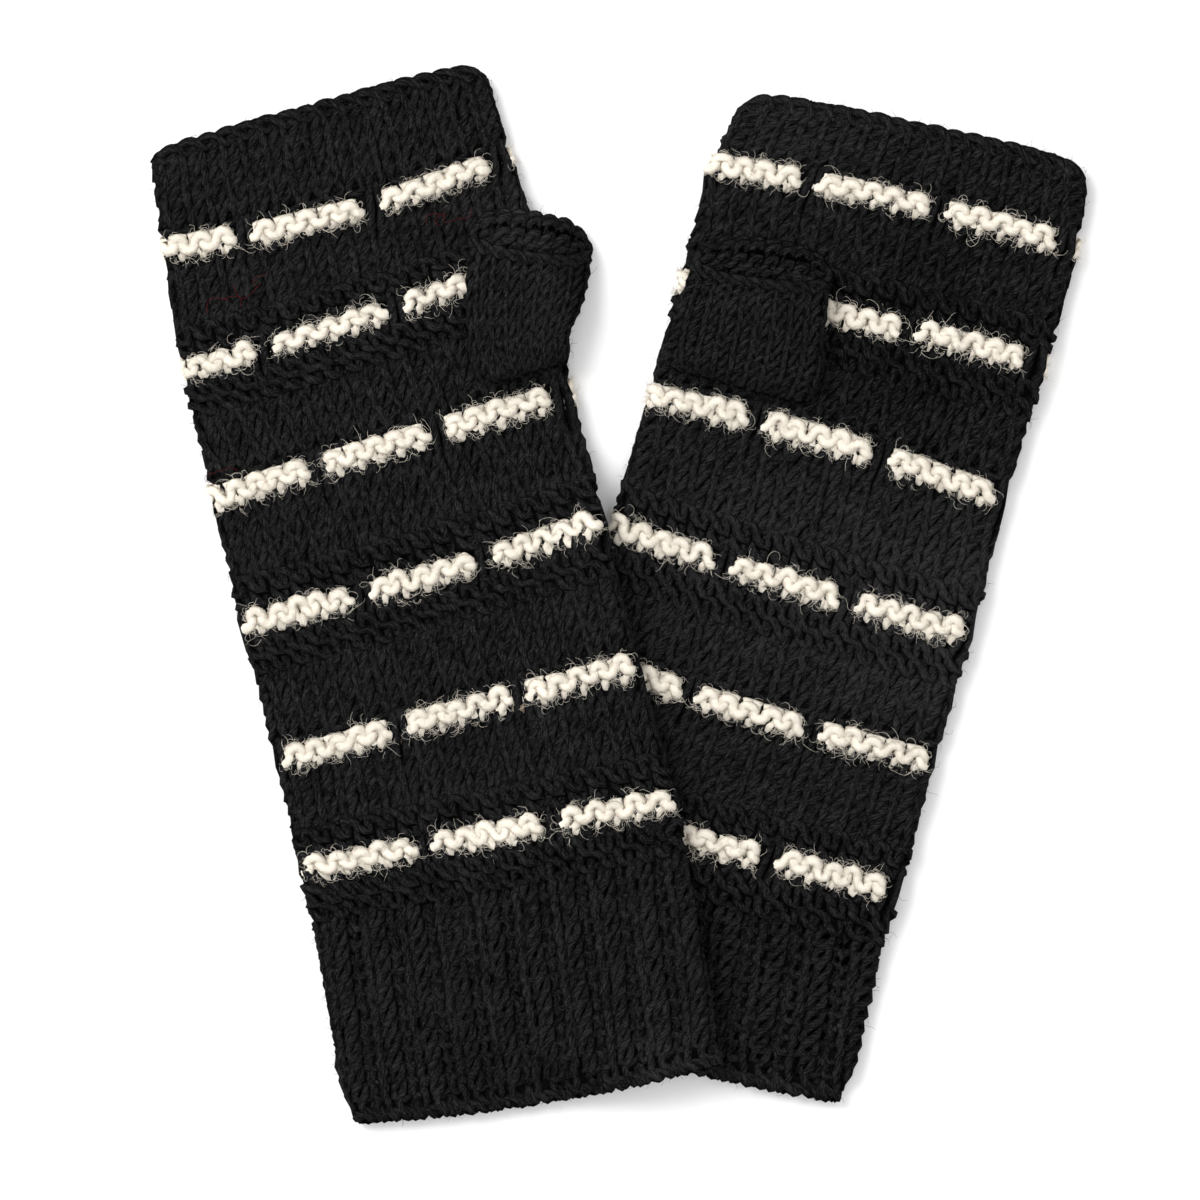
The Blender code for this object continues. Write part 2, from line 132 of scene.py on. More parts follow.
LOOP = 1.15                # half a loop's height, in courses
PURL_LOOP = 0.80           # share of that at which a black purl stitch's head and foot show
PURL_HEAD = 0.72           # the same for the loop that a cream purl stitch draws down
PURL_FOOT = 0.86           # for the cream purl stitch's own foot,
OVER_DASH_FOOT = 0.60      # for the feet of the black stitches that sit on a cream dash,
DASH_FOOT = 0.45           # and for those of the knit stitches that a dash starts with,
DASH_LEGS = 0.5            # whose legs come forward by this share of others' way
PURL_SLANT = 0.22          # how far a purl stitch's head and foot fall from left to right
HIDDEN_HEAD = 0.05         # a dash's last loops end this low, behind the black ones,
HIDDEN_DROP = 0.25         # and sink this much lower still
FLOAT_DIVE = 0.25          # a dash's lower yarn dives this much sooner behind a slipped stitch
FIRST_FOOT = 0.8           # the first loops' feet come forward over the edge
FIRST_EDGE = -1.5          # the edges' courses, past the first and last loops
LAST_EDGE = 0.5
EDGE_INSET = 0.3           # the cuff's thin cloth and its chain start this far up from its edge
SIZE_CHANGE = 0.09         # how unlike each other loops are: in height, as a share,
SPREAD_CHANGE = 0.2        # in the spread of their legs, as a share,
WALE_CHANGE = 0.06         # sideways, in wales,
LIFT_CHANGE = 0.18         # and in and out, in millimetres

YARN_SIDE = 1.5            # half the yarn's width in the plane of the cloth
YARN_OUT = 1.15            # and half its thickness
YARN_GIRTH = 2 * math.pi * YARN_SIDE
YARN_DEPTH = 0.75          # how far the yarn weaves in and out, each way
FLOAT_DEPTH = 3.2          # the carried cream yarn weaves this many times as far behind
YARN_LUMPS = 0.12          # share by which the yarn is thicker and thinner along its run
OUTWARD_STEP = 0.4         # from a strand's path to the one that shows which way is out
YARN_SIDES = 5
CREAM_SIDES = 7
PROUD = 0.3                # yarn on top stands this far over the solid
LEG_SPREAD = 0.27          # how much a loop's legs overhang, in wales
PURL_SPREAD = 0.15         # the same for the round bumps of a purl stitch,
SLIPPED_SPREAD = 0.08      # and for the slipped stitch between two dashes
LEG_SKEW = 0.15            # left legs run straight up, and right legs slant more
FRONT_SAMPLES = 10         # points of yarn in a stitch, on the front,
FRONT_WALES = 20           # which this many wales from its left side more than cover,
BACK_SAMPLES = 6           # and on the rest
CORNER_DROP = 2.5          # the finger edge's corners are rounded off by this much,
CORNER_POWER = 12          # as this power of the share of the way out to the side
HAND_SHELL = (-2.0, -3.0)  # depths of the thin cloth's two faces, behind the yarn
CUFF_SHELL = (-2.3, -2.5)


def read_rows(mitt, height, *fields):
    """Measures of the row at each height, along straight lines between the measured rows."""
    heights = [(row.left_height + row.right_height) / 2 for row in mitt.rows]
    return [np.interp(height, heights, [getattr(row, field) for row in mitt.rows])
            for field in fields]


def height_of(mitt, course):
    """Height of each course: straight lines between the cuff, the dashes and the finger edge."""
    marks = [FIRST_EDGE, mitt.chart.count("r") - 0.5]
    marks += [index + 0.5 for index, stitch in enumerate(mitt.chart) if stitch == "k"]
    marks += [len(mitt.chart) + LAST_EDGE]
    heights = [(row.left_height + row.right_height) / 2 for row in mitt.rows
               if row.name not in ("cuff", "finger edge's shoulder")]
    return np.interp(course, marks, heights)


def level(mitt, height, across):
    """Height of a row where it lies this far across: the line between its ends, bowed up."""
    low, high, bow, left, right = read_rows(mitt, height, "left_height", "right_height", "bow",
                                            "left", "right")
    share = (across - left) / (right - left)
    return low + (high - low) * share + bow * 4 * share * (1 - share)


def smooth(value, start, reach):
    """0 up to the start and 1 from the reach, along a cubic that is level at both."""
    share = np.clip((value - start) / (reach - start), 0, 1)
    return share * share * (3 - 2 * share)


def outside(mitt, across, height):
    """How far a point lies outside a mitt's outline, past a side or below its cuff."""
    left, right = read_rows(mitt, height, "left", "right")
    past = np.maximum(np.maximum(left - across, across - right), 0)
    edge = level(mitt, height_of(mitt, FIRST_EDGE), np.clip(across, left, right))
    return np.hypot(past, np.maximum(edge - height, 0))


def laid(mitt, across, height, up):
    """World place, in metres, of a point of a mitt: turned by its lean and moved to its origin.

    The left mitt is lifted where it lies on the right one and comes down smoothly beside it.
    """
    lean = math.radians(mitt.lean)
    x = mitt.origin[0] + across * math.cos(lean) - height * math.sin(lean)
    y = mitt.origin[1] + across * math.sin(lean) + height * math.cos(lean)
    if mitt is LEFT_MITT:
        lean = math.radians(RIGHT_MITT.lean)
        dx = x - RIGHT_MITT.origin[0]
        dy = y - RIGHT_MITT.origin[1]
        past = outside(RIGHT_MITT, dx * math.cos(lean) + dy * math.sin(lean),
                       dy * math.cos(lean) - dx * math.sin(lean))
        up = up + LEFT_MITT_LIFT * (1 - smooth(past, DRAPE_START, DRAPE_REACH))
    return np.stack(np.broadcast_arrays(x, y, up), -1) * METRES


def relief(mitt, wale, course):
    """How far the cloth swells outwards: dashes between slipped stitches, purl welts, and ribs."""
    chart = mitt.chart
    courses = np.arange(len(chart))
    welt = [float(stitch == "P" or stitch in "kp" and "P" in chart[max(i - 2, 0):i + 3])
            for i, stitch in enumerate(chart)]
    dash = [float(stitch in "kp") for stitch in chart]
    rib = [float(stitch == "r") for stitch in chart]
    from_slip = np.abs((wale + SLIP_REPEAT / 2) % SLIP_REPEAT - SLIP_REPEAT / 2)
    ridge = DASH_HEIGHT * np.interp(course, courses, dash) * smooth(from_slip, 0.2, 0.9)
    ribs = 0.5 + 0.5 * np.cos(math.pi * (wale - mitt.rib_parity))
    lip = LIP_HEIGHT * smooth(course, len(chart) - 2, len(chart) - 1)
    swell = np.maximum(np.maximum(ridge, lip), WELT_HEIGHT * np.interp(course, courses, welt))
    return np.maximum(swell, RIB_HEIGHT * ribs * np.interp(course, courses, rib))


def creased(mitt, height, across, facing):
    """Depth of a mitt's creases: each is a bell across its slanting line, and a bell along it."""
    depth = 0.0
    for crease in mitt.creases:
        slant = math.radians(crease.slant)
        right = across - crease.across
        up = height - crease.height
        along = (right * math.cos(slant) + up * math.sin(slant)) / crease.length
        beside = (up * math.cos(slant) - right * math.sin(slant)) / crease.width
        shows = np.maximum(crease.face * facing, 0)
        depth = depth + crease.depth * shows * np.exp(-along ** 2 - beside ** 2)
    return depth


def tube_measures(mitt, course):
    """The flat tube at a course: half its flat run, its middle, and how its wales are spread."""
    height = height_of(mitt, course)
    left, right, gap, repeat = read_rows(mitt, height, "left", "right", "first_gap", "repeat")
    cuff = mitt.chart.count("r")
    radius = np.interp(course, [cuff - 1.0, cuff], [CUFF_THICKNESS / 2, HAND_THICKNESS / 2])
    middle = (left + right) / 2
    flat = (right - left) / 2 - SIDE_BULGE * DASH_HEIGHT - radius
    quarter = math.pi / 2 * FOLD_DEPTH
    girth = 4 * flat + 4 * quarter
    pitch = repeat / SLIP_REPEAT
    first = -(quarter + left + gap - middle + flat) / pitch
    return height, radius, middle, flat, quarter, girth, pitch, first


def round_tube(run, flat, quarter):
    """Place across, and angle, of a run round a flattened tube from its left side.

    The run is a quarter fold, the front, a half fold, the back and a quarter fold.
    """
    angle = math.pi - math.pi / 2 * np.clip(run / quarter, 0, 1)
    angle = angle - math.pi * np.clip((run - quarter - 2 * flat) / (2 * quarter), 0, 1)
    angle = angle - math.pi / 2 * np.clip((run - 3 * quarter - 4 * flat) / quarter, 0, 1)
    centre = -flat + np.clip(run - quarter, 0, 2 * flat)
    return centre - np.clip(run - 3 * quarter - 2 * flat, 0, 2 * flat), angle


def on_mitt(mitt, wale, course, out):
    """Point of the cloth, in metres.

    Wales are an even pitch apart on the front and a second one on the back, and in the cuff a sine
    draws purl ribs narrower. A point lies out from the tube's path by its own depth, plus the
    relief, less the creases. A high power of its place across rounds off the finger edge's corners.
    """
    height, radius, middle, flat, quarter, girth, pitch, first = tube_measures(mitt, course)
    front = girth / 2 / pitch
    cuff = mitt.chart.count("r")
    draw = RIB_DRAW * np.interp(course, [cuff - 1.5, cuff + 0.5], [1, 0])
    around = (wale + draw * np.sin(math.pi * (wale - mitt.rib_parity)) - first) % STITCHES
    behind = girth / 2 / (STITCHES - front)
    run = np.where(around < front, around * pitch, girth / 2 + (around - front) * behind)
    centre, angle = round_tube(run, flat, quarter)
    facing = np.sin(angle)
    share = np.where(facing < 0, SIDE_BULGE * (1 + facing), SIDE_BULGE + (1 - SIDE_BULGE) * facing)
    out = out - creased(mitt, height, middle + centre, facing)
    reach = radius + out + relief(mitt, wale, course) * share + PROUD * np.maximum(facing, 0)
    across = middle + centre + reach * np.cos(angle)
    aside = np.abs(across - middle) / (flat + radius)
    last = len(mitt.chart)
    corner = CORNER_DROP * np.clip(aside, 0, 1.1) ** CORNER_POWER * smooth(course, last - 3, last)
    return laid(mitt, across, level(mitt, height, across) - corner, radius + reach * facing)


def uneven(seed, phase, per_turn):
    """Smooth random values from -1 to 1 along closed rounds: drawn at even steps, then joined."""
    steps = np.random.default_rng(seed).uniform(-1, 1, (phase.shape[0], per_turn))
    step = phase % 1 * per_turn
    low = np.floor(step).astype(int) % per_turn
    share = smooth(step % 1, 0, 1)
    here = np.take_along_axis(steps, low, 1)
    after = np.take_along_axis(steps, (low + 1) % per_turn, 1)
    return here + (after - here) * share


def loops(chart, courses, stitches, firsts, parity, seed, loose=1.0, front=FRONT_WALES,
          samples=FRONT_SAMPLES):
    """Wale, course and depth along the yarn of some courses, each one closed round.

    A stitch runs from t = -pi to pi. Across, it goes forward evenly plus a sine of 2t, so that its
    legs lean together below. Up, it is a cosine of t. In and out, it is a cosine of 2t, whose sign
    is that of its own course's stitches below and of the next course's above: a knit stitch has
    its legs in front, a purl one its head and foot, which are flatter arcs that slant down to the
    right. A purl cream course is hidden above its foot. A slipped stitch reaches two courses
    higher, and the cream yarn is carried straight behind it. Purl ribs are sunk between knit ones.
    Smooth random values change each loop's height, spread, place and depth.
    """
    turns = [(wale, -math.pi + 2 * math.pi * step / count)
             for wale in range(stitches)
             for count in [samples if wale < front else BACK_SAMPLES]
             for step in range(count)]
    wales, t = np.array(turns).T
    courses = np.array(courses)
    stitch_wale = np.ceil(np.array(firsts))[:, None] + wales
    phase = stitch_wale + t / (2 * math.pi)

    def course_is(shift, letters):
        padded = "|" + chart + "|"
        return np.array([padded[course + 1 + shift] in letters for course in courses])[:, None]

    def purl(shift):
        ribs = course_is(shift, "r") * (1 - np.cos(math.pi * (phase - parity)))
        return 2.0 * course_is(shift, "Pp") - 1 + ribs

    hidden = course_is(0, "p")
    sunk = (1 - DASH_LEGS) * course_is(0, "k")
    own = np.where(courses[:, None] == 0, FIRST_FOOT, purl(0)) * (1 - sunk)
    after = np.where(hidden, 0, purl(1))
    slipped = stitch_wale % SLIP_REPEAT == 0
    carried = course_is(0, "kp") & slipped
    tall = course_is(1, "k") & slipped
    size = 1 + SIZE_CHANGE * loose * uneven(seed, phase / stitches, stitches)
    head = 1 + (np.where(course_is(1, "p"), PURL_HEAD, PURL_LOOP) - 1) * np.clip(after, 0, 1)
    head = np.where(hidden, HIDDEN_HEAD, head)
    foot = 1 + (np.where(hidden, PURL_FOOT, PURL_LOOP) - 1) * np.clip(own, 0, 1)
    foot = np.where(course_is(-1, "p"), OVER_DASH_FOOT, foot)
    foot = np.where(course_is(0, "k"), DASH_FOOT, foot)
    upper = smooth(np.cos(t), -0.5, 0.5)
    lower = smooth(-np.cos(t), -0.5, 0.5)
    turned = (upper * np.where(course_is(1, "p"), 0, after)
              + lower * np.where(hidden, 0, own)).clip(0, 1)
    arc = np.cos(t) + (np.sin(math.pi / 2 * np.cos(t)) - np.cos(t)) * turned
    rise = LOOP * size * arc * np.where(np.cos(t) > 0, head, foot)
    rise = rise - PURL_SLANT * turned * np.sin(2 * t)
    rise = np.where(tall & (rise > 0), (LOOP + 2) * np.cos(t), rise)
    rise = np.where(carried, -LOOP * size * foot, rise)
    rise = rise - HIDDEN_DROP * (hidden & ~slipped) * upper
    facing = upper * after + (1 - upper) * own
    spread = LEG_SPREAD + (PURL_SPREAD - LEG_SPREAD) * np.clip(facing, 0, 1)
    spread = spread * (1 + SPREAD_CHANGE * uneven(seed + 1, phase / stitches, stitches))
    spread = np.where(tall, SLIPPED_SPREAD, spread)
    skew = LEG_SKEW * (1 - np.clip(facing, 0, 1))
    ahead = np.where(carried, 0, spread * np.sin(2 * t) + skew * np.clip(rise, -LOOP, LOOP))
    ahead = ahead + WALE_CHANGE * loose * uneven(seed + 2, phase / stitches, 2 * stitches)
    weave = np.where(facing > 0, 1 - 2 * np.sin(t) ** 4, np.cos(2 * t)) * facing
    weave = weave - hidden * upper - sunk * (1 - upper)
    dive = np.where(course_is(0, "k"), FLOAT_DIVE, 0)
    behind = smooth(1 - np.abs(t) / math.pi, -dive, 0.4 - dive)
    weave = np.where(carried, weave * (1 - behind) - FLOAT_DEPTH * behind, weave)
    lift = LIFT_CHANGE * uneven(seed + 3, phase / stitches, 2 * stitches)
    valley = course_is(0, "r") * (0.5 - 0.5 * np.cos(math.pi * (phase - parity)))
    out = -YARN_OUT - YARN_DEPTH * (1 - weave) + lift - RIB_SINK * valley
    return phase + ahead, courses[:, None] + rise, out


def spun(path, beyond, sides, side_radius, out_radius, closed=True, lumps=0.0):
    """Yarn's surface round its path: a flattened circle square to the path at each point.

    beyond holds the same path a little further out from the cloth, which gives the outward
    direction. Lumps make the yarn thicker and thinner along its run, by up to that share. Returns
    the points and the run along the yarn in millimetres.
    """
    if closed:
        ahead = np.roll(path, -1, 1) - np.roll(path, 1, 1)
    else:
        ahead = np.gradient(path, axis=1)
    ahead = ahead / np.linalg.norm(ahead, axis=-1, keepdims=True)
    sideways = np.cross(ahead, beyond - path)
    sideways = sideways / np.linalg.norm(sideways, axis=-1, keepdims=True)
    outward = np.cross(sideways, ahead)
    angle = 2 * math.pi * np.arange(sides) / sides - math.pi / 2
    length = path.shape[1]
    phase = np.broadcast_to(np.arange(length) / length, path.shape[:2])
    thick = 1 + lumps * uneven(length, phase, max(length // 8, 1))[..., None, None]
    points = path[:, :, None] + METRES * thick * (
        (side_radius * np.cos(angle))[..., None] * sideways[:, :, None]
        + (out_radius * np.sin(angle))[..., None] * outward[:, :, None])
    steps = np.linalg.norm(np.diff(path, axis=1), axis=-1) / METRES
    along = np.concatenate([np.zeros((len(path), 1)), np.cumsum(steps, 1)], 1)
    return points, along


CLOSING_STEP = 2.0         # millimetres of run from a round's last ring back to its first
STRAND_SHIFT = 7.3         # each strand's run starts this much later, so that no two look alike


def woolly(name, points, along, girth, material, closed=True):
    """Object from rounds of yarn: a grid of four-sided faces on each, with its run as UV map.

    An open strand is closed by one face at each end.
    """
    rounds, length, sides = points.shape[:3]
    index = np.arange(rounds * length * sides).reshape(rounds, length, sides)
    ahead = np.roll(index, -1, 1) if closed else index[:, 1:]
    here = index if closed else index[:, :-1]
    faces = np.stack([here, np.roll(here, -1, 2), np.roll(ahead, -1, 2), ahead], -1)
    spans = here.shape[1]
    run = np.concatenate([along, along[:, -1:] + CLOSING_STEP], 1)[:, :spans + 1]
    run = run + STRAND_SHIFT * np.arange(rounds)[:, None]
    start = np.broadcast_to(run[:, :spans, None], here.shape)
    end = np.broadcast_to(run[:, 1:spans + 1, None], here.shape)
    low = np.broadcast_to(girth * np.arange(sides) / sides, here.shape)
    high = low + girth / sides
    coordinates = np.stack([start, low, start, high, end, high, end, low], -1).reshape(-1, 2)
    corners = faces.reshape(-1)
    starts = 4 * np.arange(faces.size // 4)
    if not closed:
        ends = np.concatenate([index[:, 0, ::-1], index[:, -1]])
        starts = np.concatenate([starts, corners.size + sides * np.arange(len(ends))])
        corners = np.concatenate([corners, ends.reshape(-1)])
        coordinates = np.concatenate([coordinates, np.zeros((ends.size, 2))])
    mesh = bpy.data.meshes.new(name)
    mesh.vertices.add(index.size)
    mesh.vertices.foreach_set("co", points.reshape(-1).astype(np.float32))
    mesh.loops.add(corners.size)
    mesh.loops.foreach_set("vertex_index", corners.astype(np.int32))
    mesh.polygons.add(starts.size)
    mesh.polygons.foreach_set("loop_start", starts.astype(np.int32))
    mesh.update(calc_edges=True)
    mesh.uv_layers.new(name="yarn").data.foreach_set("uv",
                                                     coordinates.reshape(-1).astype(np.float32))
    mesh.shade_smooth()
    mesh.materials.append(material)
    piece = bpy.data.objects.new(name, mesh)
    bpy.context.scene.collection.objects.link(piece)
    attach(piece, "root")
    return piece


def strands(name, path, beyond, radii, material, lumps=0.0, sides=YARN_SIDES, closed=True):
    """Object of strands spun round their paths, with a radius in the cloth's plane and one out."""
    points, along = spun(path, beyond, sides, *radii, closed=closed, lumps=lumps)
    return woolly(name, points, along, YARN_GIRTH, material, closed)


WALE_STEP = 5.9            # millimetres from stitch to stitch
COURSE_STEP = 4.2          # and from course to course
INNER_SHIFT = 40.0         # the wall's inner face takes its pattern from this many courses on


def shell(name, place, wales, courses, outs, material):
    """Thin closed wall of cloth: an outer and an inner grid of points, joined at both ends."""
    wale, course = np.meshgrid(wales, courses)
    outer, inner = (place(wale, course, out) for out in outs)
    points = np.concatenate([outer, inner[::-1]])[None]
    along = np.concatenate([courses, courses[::-1] + INNER_SHIFT])[None] * COURSE_STEP
    return woolly(name, points, along, WALE_STEP * len(wales), material)


def new_group(name, inputs, outputs):
    """Empty shader node group with named float or vector inputs and outputs."""
    group = bpy.data.node_groups.new(name, "ShaderNodeTree")
    for label, kind, value in inputs:
        socket = group.interface.new_socket(label, in_out="INPUT", socket_type=kind)
        if value is not None:
            socket.default_value = value
    for label, kind in outputs:
        group.interface.new_socket(label, in_out="OUTPUT", socket_type=kind)
    return group, group.nodes.new("NodeGroupInput"), group.nodes.new("NodeGroupOutput")


def maths(tree, operation, first, second=0.0):
    """Math node on two links or numbers, giving its output."""
    node = tree.nodes.new("ShaderNodeMath")
    node.operation = operation
    for socket, value in zip(node.inputs, (first, second)):
        if isinstance(value, (int, float)):
            socket.default_value = value
        else:
            tree.links.new(value, socket)
    return node.outputs[0]


def noise(tree, vector, scale, detail, roughness):
    """Noise texture's value on a vector link."""
    node = tree.nodes.new("ShaderNodeTexNoise")
    node.inputs["Scale"].default_value = scale
    node.inputs["Detail"].default_value = detail
    node.inputs["Roughness"].default_value = roughness
    tree.links.new(vector, node.inputs["Vector"])
    return node.outputs["Fac"]


# Soft patches, in millimetres, where painted light makes the black wool paler or painted shade
# darker.
Rub = namedtuple("Rub", "name x y radius paler")
PAINTED_LIGHT_AND_SHADE = [
    Rub("right mitt's middle", 45.5, 5.4, 36.0, 0.035),
    Rub("right mitt's outer side", 94.0, -9.0, 30.0, 0.06),
    Rub("right mitt's finger end", 46.0, 126.0, 26.0, 0.02),
    Rub("between two dashes, dark", 84.0, 82.0, 27.0, -0.03),
    Rub("beside the right thumb, dark", 73.0, 52.0, 22.0, -0.03),
    Rub("left thumb's mouth", -28.0, 101.0, 12.0, 0.05),
    Rub("left cuff's corner", 12.0, -126.0, 14.0, 0.03),
]

PLY_STRETCH = 0.22         # the plies' noise changes this much slower along the yarn than round it
HAIR_FINENESS = 7.0        # a hair is gone where its noise is 1 / this off its middle value
PLY_SHADE = 0.64           # how much the plies, the hairs and the soft patches lighten the wool,
HAIR_SHADE = 0.12
PATCH_SHADE = 0.12
HAIR_HEIGHT = 0.25         # and the hairs' share of its bumps


def fibres_group():
    """Spun fibres, as bright lines on dark.

    Noise drawn out along the yarn and wound round it gives the spun plies. A second noise, whose
    middle value is drawn as a thin line, gives the loose hairs that curl over them. A third, broad
    one makes soft patches. A cosine round the girth paints a highlight on the yarn's top and
    painted shade on its underside. Each of the patches of painted light and shade adds a soft bell.
    """
    group, entry, exit_ = new_group(
        "spun_fibres",
        [("Run", "NodeSocketVector", None), ("Place", "NodeSocketVector", None),
         ("Twist", "NodeSocketFloat", 0.6), ("Crown", "NodeSocketFloat", 0.2),
         ("Rubbed", "NodeSocketFloat", 1.0)],
        [("Shade", "NodeSocketFloat"), ("Height", "NodeSocketFloat")])
    calc = partial(maths, group)
    split = group.nodes.new("ShaderNodeSeparateXYZ")
    group.links.new(entry.outputs["Run"], split.inputs[0])
    spot = group.nodes.new("ShaderNodeSeparateXYZ")
    group.links.new(entry.outputs["Place"], spot.inputs[0])
    # Soft bells of painted light and painted shade, one for each painted patch.
    painted_light_and_shade = 0.0
    for painted_patch in PAINTED_LIGHT_AND_SHADE:
        away = (calc("SUBTRACT", spot.outputs["X"], painted_patch.x * METRES),
                calc("SUBTRACT", spot.outputs["Y"], painted_patch.y * METRES))
        squares = [calc("POWER", calc("DIVIDE", part, painted_patch.radius * METRES), 2.0) for part in away]
        bell = calc("POWER", math.e, calc("MULTIPLY", calc("ADD", *squares), -1.0))
        painted_light_and_shade = calc("ADD", painted_light_and_shade, calc("MULTIPLY", bell, painted_patch.paler))
    along = split.outputs["X"]
    twisted = calc("MULTIPLY", along, entry.outputs["Twist"])
    drawn_out = group.nodes.new("ShaderNodeCombineXYZ")
    group.links.new(calc("MULTIPLY", along, PLY_STRETCH), drawn_out.inputs["X"])
    group.links.new(calc("ADD", split.outputs["Y"], twisted), drawn_out.inputs["Y"])
    plies = noise(group, drawn_out.outputs[0], scale=1.9, detail=3.0, roughness=0.65)
    tangle = noise(group, entry.outputs["Place"], scale=1900.0, detail=2.0, roughness=0.5)
    off_middle = calc("ABSOLUTE", calc("SUBTRACT", tangle, 0.5))
    hairs = calc("MAXIMUM", calc("SUBTRACT", 1.0, calc("MULTIPLY", off_middle, HAIR_FINENESS)), 0.0)
    patches = noise(group, entry.outputs["Place"], scale=160.0, detail=2.0, roughness=0.5)
    shade = calc("ADD", calc("MULTIPLY", plies, PLY_SHADE),
                 calc("ADD", calc("MULTIPLY", hairs, HAIR_SHADE),
                      calc("MULTIPLY", patches, PATCH_SHADE)))
    turn = calc("DIVIDE", split.outputs["Y"], YARN_GIRTH)
    painted_crown_shade = calc("COSINE", calc("MULTIPLY", turn, 2 * math.pi))
    shade = calc("SUBTRACT", shade, calc("MULTIPLY", painted_crown_shade, entry.outputs["Crown"]))
    height = calc("ADD", calc("MULTIPLY", plies, 1 - HAIR_HEIGHT),
                  calc("MULTIPLY", hairs, HAIR_HEIGHT))
    shade = calc("ADD", shade, calc("MULTIPLY", painted_light_and_shade, entry.outputs["Rubbed"]))
    group.links.new(shade, exit_.inputs["Shade"])
    group.links.new(height, exit_.inputs["Height"])
    return group


SPUN_FIBRES = fibres_group()


def wool(name, tones, painted_crown_shade, bump_depth, sheen, painted_patches=0.0):
    """Matt wool: its colour runs through the tones from the gaps between fibres to their tops."""
    # Its tones also carry painted shade and highlights, round the yarn and in soft patches.
    material = bpy.data.materials.new(name)
    material.use_nodes = True
    tree = material.node_tree
    shader = tree.nodes["Principled BSDF"]
    group = tree.nodes.new("ShaderNodeGroup")
    group.node_tree = SPUN_FIBRES
    group.inputs["Crown"].default_value = painted_crown_shade
    group.inputs["Rubbed"].default_value = painted_patches
    run = tree.nodes.new("ShaderNodeUVMap")
    run.uv_map = "yarn"
    place = tree.nodes.new("ShaderNodeTexCoord")
    tree.links.new(run.outputs["UV"], group.inputs["Run"])
    tree.links.new(place.outputs["Object"], group.inputs["Place"])
    ramp = tree.nodes.new("ShaderNodeValToRGB")
    while len(ramp.color_ramp.elements) < len(tones):
        ramp.color_ramp.elements.new(0.5)
    for element, (position, colour) in zip(ramp.color_ramp.elements, tones):
        element.position = position
        element.color = colour + (1.0,)
    tree.links.new(group.outputs["Shade"], ramp.inputs["Fac"])
    tree.links.new(ramp.outputs["Color"], shader.inputs["Base Color"])
    bump = tree.nodes.new("ShaderNodeBump")
    bump.inputs["Strength"].default_value = 0.9
    bump.inputs["Distance"].default_value = bump_depth * METRES
    tree.links.new(group.outputs["Height"], bump.inputs["Height"])
    tree.links.new(bump.outputs["Normal"], shader.inputs["Normal"])
    shader.inputs["Roughness"].default_value = 0.95
    shader.inputs["Specular IOR Level"].default_value = 0.01
    shader.inputs["Sheen Weight"].default_value = sheen
    shader.inputs["Sheen Roughness"].default_value = 0.5
    return material


# Black yarn: painted shade underneath, a painted highlight on top, and the painted patches.
BLACK_WOOL = wool("black_yarn", ((0.33, (0.0004, 0.0004, 0.0005)), (0.52, (0.0029, 0.0029, 0.0031)),
                                 (0.73, (0.030, 0.030, 0.031))),
                  painted_crown_shade=0.14, bump_depth=0.5, sheen=0.002, painted_patches=1.0)
BLACK_DEPTHS = wool("black_depths", ((0.30, (0.0016, 0.0016, 0.0017)),
                                     (0.55, (0.0065, 0.0065, 0.0068))),
                    painted_crown_shade=0.0, bump_depth=0.5, sheen=0.0)


# A yarn's path, the one beyond it, its depth in the cloth, and how far above its dash's middle it
# is, which only the cream yarn's fluff goes by.
LaidYarn = namedtuple("LaidYarn", "path beyond depth above")


def knit(mitt, name, courses, material, loose=1.3, fat=1.0, samples=FRONT_SAMPLES,
         sides=YARN_SIDES):
    """Yarn of some courses of a mitt as one piece, and how it is laid, for the fluff."""
    firsts = tube_measures(mitt, np.array(courses, float))[-1]
    wale, course, out = loops(mitt.chart, courses, STITCHES, firsts, mitt.rib_parity,
                              mitt.seed + 10 * courses[0], loose, samples=samples)
    path = on_mitt(mitt, wale, course, out)
    beyond = on_mitt(mitt, wale, course, out + OUTWARD_STEP)
    piece = strands(name, path, beyond, (YARN_SIDE * fat, YARN_OUT * fat), material, YARN_LUMPS,
                    sides)
    middle = np.array([0.5 if mitt.chart[i] == "k" else -0.5 for i in courses])[:, None]
    above = course - np.array(courses)[:, None] - middle
    return piece, LaidYarn(path, beyond, out, above)


yarn_paths = {}
cloth_pieces = {}


def dress(node, base, yarns):
    """Let the thin cloth and its yarns stand for a node's solid, which is hidden."""
    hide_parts(node)
    cloth_pieces[node] = (base, yarns)


for mitt in MITTS:
    ribs = [i for i, stitch in enumerate(mitt.chart) if stitch == "r"]
    base = shell(mitt.side + "_cuff_cloth", partial(on_mitt, mitt), np.arange(0, STITCHES, 0.5),
                 np.arange(FIRST_EDGE + EDGE_INSET, len(ribs) - 0.4, 1.2), CUFF_SHELL, BLACK_DEPTHS)
    yarn, yarn_paths[mitt.side + "_cuff"] = knit(mitt, mitt.side + "_cuff_ribs", ribs, BLACK_WOOL)
    dress(mitt.side + "_cuff", base, [yarn])

# ------------------------------------------------------------------------------------- the hands
# The hand goes on from the cuff on the same 36 stitches: knit courses, with purl welts beside
# every second dash. It is the same black wool, and its loops hold the cuff's last ones.
for mitt in MITTS:
    first = mitt.chart.count("r")
    black = [i for i in range(first, len(mitt.chart)) if mitt.chart[i] in "KP"]
    base = shell(mitt.side + "_hand_cloth", partial(on_mitt, mitt), np.arange(0, STITCHES, 0.5),
                 np.arange(first - 0.4, len(mitt.chart) + 0.2, 1.6), HAND_SHELL, BLACK_DEPTHS)
    yarn, yarn_paths[mitt.side + "_hand"] = knit(mitt, mitt.side + "_hand_stitches", black,
                                                 BLACK_WOOL)
    dress(mitt.side + "_hand", base, [yarn])
